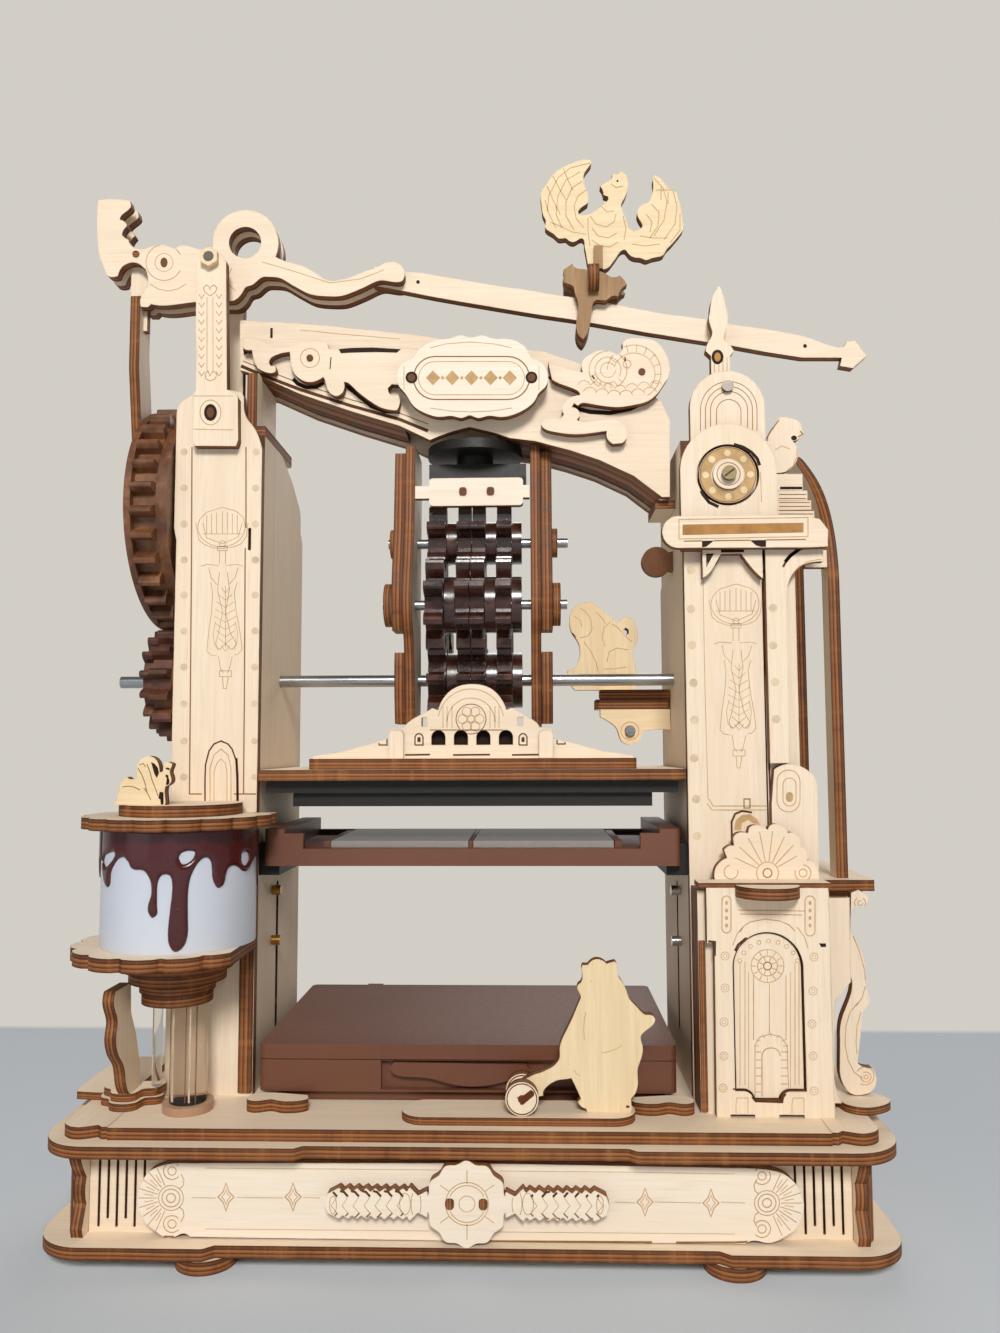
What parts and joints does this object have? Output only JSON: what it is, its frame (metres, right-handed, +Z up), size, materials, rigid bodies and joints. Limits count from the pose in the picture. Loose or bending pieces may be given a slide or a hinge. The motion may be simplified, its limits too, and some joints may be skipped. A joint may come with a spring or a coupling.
{
  "type": "model printing press",
  "caption": "Hand cranked wooden model printing press with a pivoted lever, gear train, sinking platen, type tray, lidded case, lamp and animal figures on a two level base",
  "frame": {"origin": "middle of the bounding box seen from above, on the surface the feet stand on", "axes": "+X to the right seen from the front, +Y to the back, +Z up"},
  "size_m": [0.227, 0.1041, 0.3024],
  "materials": {
    "plywood": "laser cut birch and basswood sheet with browned edges, unvarnished",
    "waxed_wood": "dark waxed sheet wood, glossy on the teeth",
    "steel": "plain drawn rod",
    "black_plastic": "satin black",
    "brown_plastic": "satin brown moulding",
    "grey_plate": "smooth dark grey plate",
    "shade_sheet": "white translucent sheet",
    "clear_tube": "clear plastic tube"
  },
  "bodies": {
    "frame": {"base_feet": "plywood", "base_front_panel": "plywood", "base_medallion": "plywood", "base_plate": "plywood", "base_walls": "plywood", "beam_ornaments": "plywood", "beam_plaque": "plywood", "beam_plates": "plywood", "bear_figure": "plywood", "cabinet_box": "plywood", "cabinet_front": "plywood", "deck_fittings": "plywood", "lamp_figure": "plywood", "lamp_shade": "shade_sheet", "lamp_stand": "plywood", "lamp_top_shelf": "plywood", "lamp_tubes": "clear_tube", "left_tower_front": "plywood", "left_tower_pillars": "plywood", "left_tower_walls": "plywood", "lower_deck": "plywood", "mechanism_cheeks": "plywood", "mechanism_cross_plate": "plywood", "monkey_bracket": "plywood", "pins_and_screws": "steel", "ram_block": "black_plastic", "right_tower_crown": "plywood", "right_tower_front": "plywood", "right_tower_roof": "plywood", "right_tower_walls": "plywood", "side_buttress": "plywood", "tower_crossbar": "plywood", "tower_ornaments": "plywood", "tray_rails": "black_plastic", "upper_deck": "plywood"},
    "drive": {"drive_shaft": "steel", "small_gear": "waxed_wood", "drive_pinions": "waxed_wood"},
    "big_gear": {"large_gear": "waxed_wood", "large_gear_axle": "steel"},
    "mid_train": {"middle_gears": "waxed_wood", "middle_axle": "steel"},
    "top_train": {"top_gears": "waxed_wood", "top_axle": "steel"},
    "platen": {"platen_plate": "plywood", "platen_facade": "plywood", "platen_pad": "black_plastic", "platen_racks": "plywood"},
    "lever": {"lever_sculpture": "plywood", "lever_arm": "plywood", "eagle_figure": "plywood", "eagle_perch": "waxed_wood"},
    "rod": {"connecting_rod": "plywood"},
    "tray": {"type_tray": "brown_plastic", "tray_glass": "grey_plate"},
    "case": {"storage_case": "brown_plastic", "case_fittings": "brown_plastic"},
    "case_lid": {"storage_case_lid": "brown_plastic"},
    "dial": {"dial": "plywood"},
    "roller": {"ink_roller": "plywood"}
  },
  "joints": [
    {"name": "crank_shaft_turn", "type": "hinge", "parent": "frame", "child": "drive", "pos_m": [-0.00159, 0.00806, 0.148], "axis": [-1, 0, 0], "range_deg": [0, 45]},
    {"name": "large_gear_turn", "type": "hinge", "parent": "frame", "child": "big_gear", "pos_m": [-0.09159, 0.00806, 0.1975], "axis": [-1, 0, 0], "range_deg": [-22.5, 0]},
    {"name": "middle_gears_turn", "type": "hinge", "parent": "frame", "child": "mid_train", "pos_m": [-0.00159, -0.00194, 0.16982], "axis": [-1, 0, 0], "range_deg": [-45, 0]},
    {"name": "top_gears_turn", "type": "hinge", "parent": "frame", "child": "top_train", "pos_m": [-0.00159, 0.00507, 0.18962], "axis": [-1, 0, 0], "range_deg": [0, 60]},
    {"name": "platen_slide", "type": "slide", "parent": "frame", "child": "platen", "axis": [0, 0, -1], "range_m": [0, 0.00942]},
    {"name": "lever_pivot", "type": "hinge", "parent": "frame", "child": "lever", "pos_m": [-0.07659, -0.00843, 0.2685], "axis": [0, -1, 0], "range_deg": [0, 10]},
    {"name": "rod_pivot", "type": "hinge", "parent": "lever", "child": "rod", "pos_m": [-0.10139, -0.00843, 0.2742], "axis": [0, -1, 0], "range_deg": [-10, 0]},
    {"name": "tray_slide", "type": "slide", "parent": "frame", "child": "tray", "axis": [0, 1, 0], "range_m": [0, 0.06]},
    {"name": "case_slide", "type": "slide", "parent": "frame", "child": "case", "axis": [0, 1, 0], "range_m": [0, 0.07]},
    {"name": "case_lid_hinge", "type": "hinge", "parent": "case", "child": "case_lid", "pos_m": [-0.00159, 0.04906, 0.0442], "axis": [-1, 0, 0], "range_deg": [0, 36]},
    {"name": "dial_turn", "type": "hinge", "parent": "frame", "child": "dial", "pos_m": [0.07051, -0.01994, 0.2033], "axis": [0, -1, 0], "continuous": true},
    {"name": "roller_turn", "type": "hinge", "parent": "frame", "child": "roller", "pos_m": [0.01231, -0.03223, 0.03925], "axis": [0, -1, 0], "continuous": true}
  ],
  "couplings": [
    {"joint": "crank_shaft_turn", "follows": "platen_slide", "rad_per_m": 83.333},
    {"joint": "large_gear_turn", "follows": "platen_slide", "rad_per_m": -41.667},
    {"joint": "middle_gears_turn", "follows": "platen_slide", "rad_per_m": -83.333},
    {"joint": "top_gears_turn", "follows": "platen_slide", "rad_per_m": 111.11},
    {"joint": "lever_pivot", "follows": "platen_slide", "rad_per_m": 18.519},
    {"joint": "rod_pivot", "follows": "platen_slide", "rad_per_m": -18.519}
  ]
}
